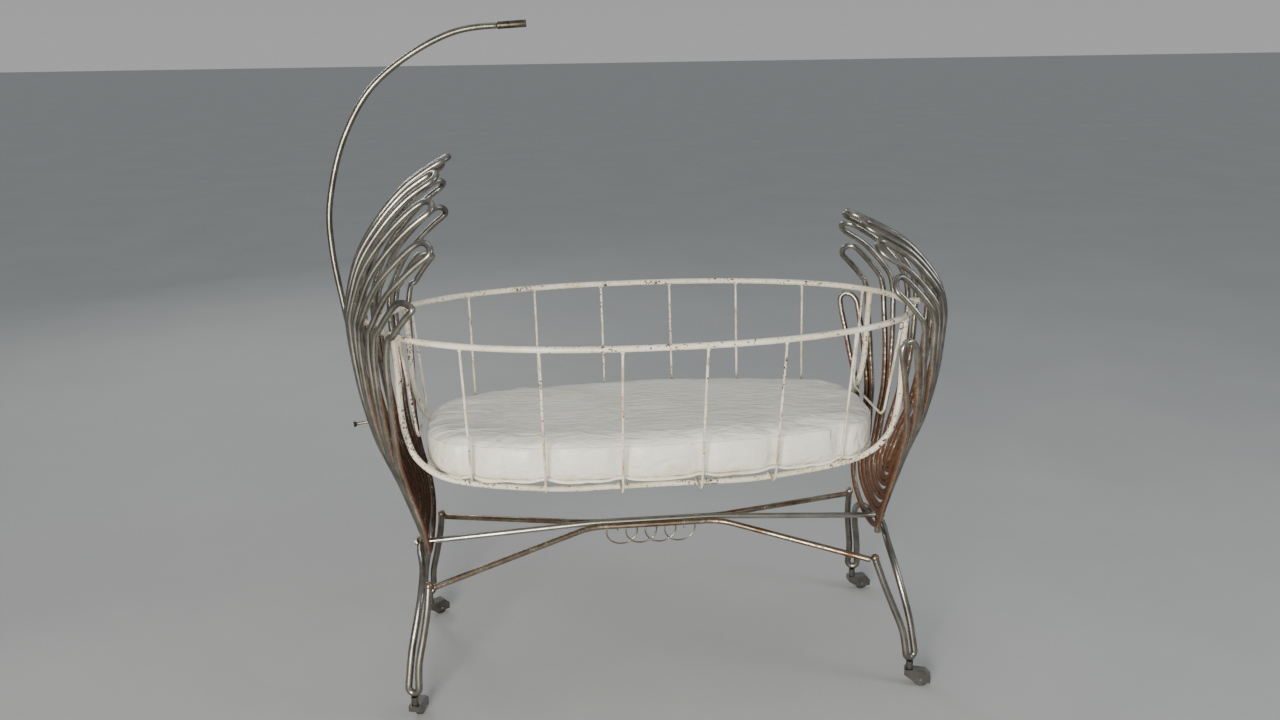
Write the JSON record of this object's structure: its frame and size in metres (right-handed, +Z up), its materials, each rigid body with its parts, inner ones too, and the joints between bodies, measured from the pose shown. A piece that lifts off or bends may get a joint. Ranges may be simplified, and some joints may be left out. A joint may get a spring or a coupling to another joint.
{
  "type": "swinging baby cradle",
  "caption": "Swinging cradle in bent steel tube: a wire basket with a mattress hangs between two fan-shaped ends on caster legs, with a curved canopy rod.",
  "frame": {"origin": "on the floor under the middle of the cradle's length and width", "axes": "+Z up; +X along the basket towards the foot end, away from the canopy rod; +Y to the far side"},
  "size_m": [1.0144, 0.451, 1.1045],
  "materials": {
    "fan_chrome": "dull tarnished chrome plating with brown rust on the inner faces",
    "white_enamel": "aged off-white enamel with chips",
    "white_vinyl": "smooth white vinyl cover, faintly stained",
    "bolt_steel": "plated steel",
    "stretcher_chrome": "bright chrome plating with rust specks",
    "rusted_steel": "rusted steel with remains of plating",
    "scroll_wire": "dull plated wire",
    "leg_chrome": "worn chrome plating with brown tarnish",
    "caster_steel": "grey plated sheet steel",
    "caster_tread": "black moulded rubber",
    "rod_chrome": "worn chrome plating",
    "rod_ferrule": "dark worn steel",
    "dark_screw": "dark steel"
  },
  "bodies": {
    "frame": {"head_petals_0": "fan_chrome", "head_petals_1": "fan_chrome", "head_petals_2": "fan_chrome", "head_petals_3": "fan_chrome", "head_petals_4": "fan_chrome", "foot_petals_0": "fan_chrome", "foot_petals_1": "fan_chrome", "foot_petals_2": "fan_chrome", "foot_petals_3": "fan_chrome", "foot_petals_4": "fan_chrome", "pivot_plate_head": "fan_chrome", "pivot_plate_foot": "fan_chrome", "pivot_pin_head": "bolt_steel", "pivot_pin_foot": "bolt_steel", "rod_socket": "fan_chrome", "stretcher_centre": "stretcher_chrome", "stretcher_front": "rusted_steel", "stretcher_rear": "rusted_steel", "stem_head": "rusted_steel", "stem_foot": "rusted_steel", "stretcher_bolt_head": "bolt_steel", "stretcher_bolt_foot": "bolt_steel", "scroll_wire": "scroll_wire", "leg_head_front": "leg_chrome", "leg_head_rear": "leg_chrome", "leg_foot_front": "leg_chrome", "leg_foot_rear": "leg_chrome", "caster_head_front_sleeve": "caster_steel", "caster_head_rear_sleeve": "caster_steel", "caster_foot_front_sleeve": "caster_steel", "caster_foot_rear_sleeve": "caster_steel"},
    "basket": {"basket_rim": "white_enamel", "basket_rib_1": "white_enamel", "basket_rib_2": "white_enamel", "basket_rib_3": "white_enamel", "basket_rib_4": "white_enamel", "basket_rib_5": "white_enamel", "basket_rib_6": "white_enamel", "basket_rib_7": "white_enamel", "basket_rib_8": "white_enamel", "basket_rail_front": "white_enamel", "basket_rail_rear": "white_enamel", "basket_bush_head": "white_enamel", "basket_bush_foot": "white_enamel", "mattress": "white_vinyl"},
    "canopy_rod": {"canopy_rod": "rod_chrome", "rod_ferrule": "rod_ferrule"},
    "clamp_screw": {"rod_clamp_screw": "dark_screw"},
    "caster_head_front": {"caster_head_front_hood": "caster_steel", "caster_head_front_axle": "bolt_steel"},
    "wheel_head_front": {"caster_head_front_wheel": "caster_tread"},
    "caster_head_rear": {"caster_head_rear_hood": "caster_steel", "caster_head_rear_axle": "bolt_steel"},
    "wheel_head_rear": {"caster_head_rear_wheel": "caster_tread"},
    "caster_foot_front": {"caster_foot_front_hood": "caster_steel", "caster_foot_front_axle": "bolt_steel"},
    "wheel_foot_front": {"caster_foot_front_wheel": "caster_tread"},
    "caster_foot_rear": {"caster_foot_rear_hood": "caster_steel", "caster_foot_rear_axle": "bolt_steel"},
    "wheel_foot_rear": {"caster_foot_rear_wheel": "caster_tread"}
  },
  "joints": [
    {"name": "basket_swing", "type": "hinge", "parent": "frame", "child": "basket", "pos_m": [0.00426, 0, 0.637], "axis": [1, 0, 0], "range_deg": [-12, 12]},
    {"name": "canopy_slide", "type": "slide", "parent": "frame", "child": "canopy_rod", "axis": [-0.1478, 0, 0.989], "range_m": [0, 0.1]},
    {"name": "clamp_turn", "type": "hinge", "parent": "frame", "child": "clamp_screw", "pos_m": [-0.462, 0, 0.46667], "axis": [-0.989, 0, -0.1478], "range_deg": [-180, 180]},
    {"name": "swivel_head_front", "type": "hinge", "parent": "frame", "child": "caster_head_front", "pos_m": [-0.40824, -0.169, 0.03], "axis": [0, 0, 1], "continuous": true},
    {"name": "roll_head_front", "type": "hinge", "parent": "caster_head_front", "child": "wheel_head_front", "pos_m": [-0.40273, -0.14977, 0.0135], "axis": [-0.9613, 0.2756, 0], "continuous": true},
    {"name": "swivel_head_rear", "type": "hinge", "parent": "frame", "child": "caster_head_rear", "pos_m": [-0.40824, 0.169, 0.03], "axis": [0, 0, 1], "continuous": true},
    {"name": "roll_head_rear", "type": "hinge", "parent": "caster_head_rear", "child": "wheel_head_rear", "pos_m": [-0.39166, 0.18018, 0.0135], "axis": [-0.5592, 0.829, 0], "continuous": true},
    {"name": "swivel_foot_front", "type": "hinge", "parent": "frame", "child": "caster_foot_front", "pos_m": [0.42976, -0.169, 0.03], "axis": [0, 0, 1], "continuous": true},
    {"name": "roll_foot_front", "type": "hinge", "parent": "caster_foot_front", "child": "wheel_foot_front", "pos_m": [0.44878, -0.17518, 0.0135], "axis": [0.309, 0.9511, 0], "continuous": true},
    {"name": "swivel_foot_rear", "type": "hinge", "parent": "frame", "child": "caster_foot_rear", "pos_m": [0.42976, 0.169, 0.03], "axis": [0, 0, 1], "continuous": true},
    {"name": "roll_foot_rear", "type": "hinge", "parent": "caster_foot_rear", "child": "wheel_foot_rear", "pos_m": [0.44973, 0.17005, 0.0135], "axis": [-0.0523, 0.9986, 0], "continuous": true}
  ]
}
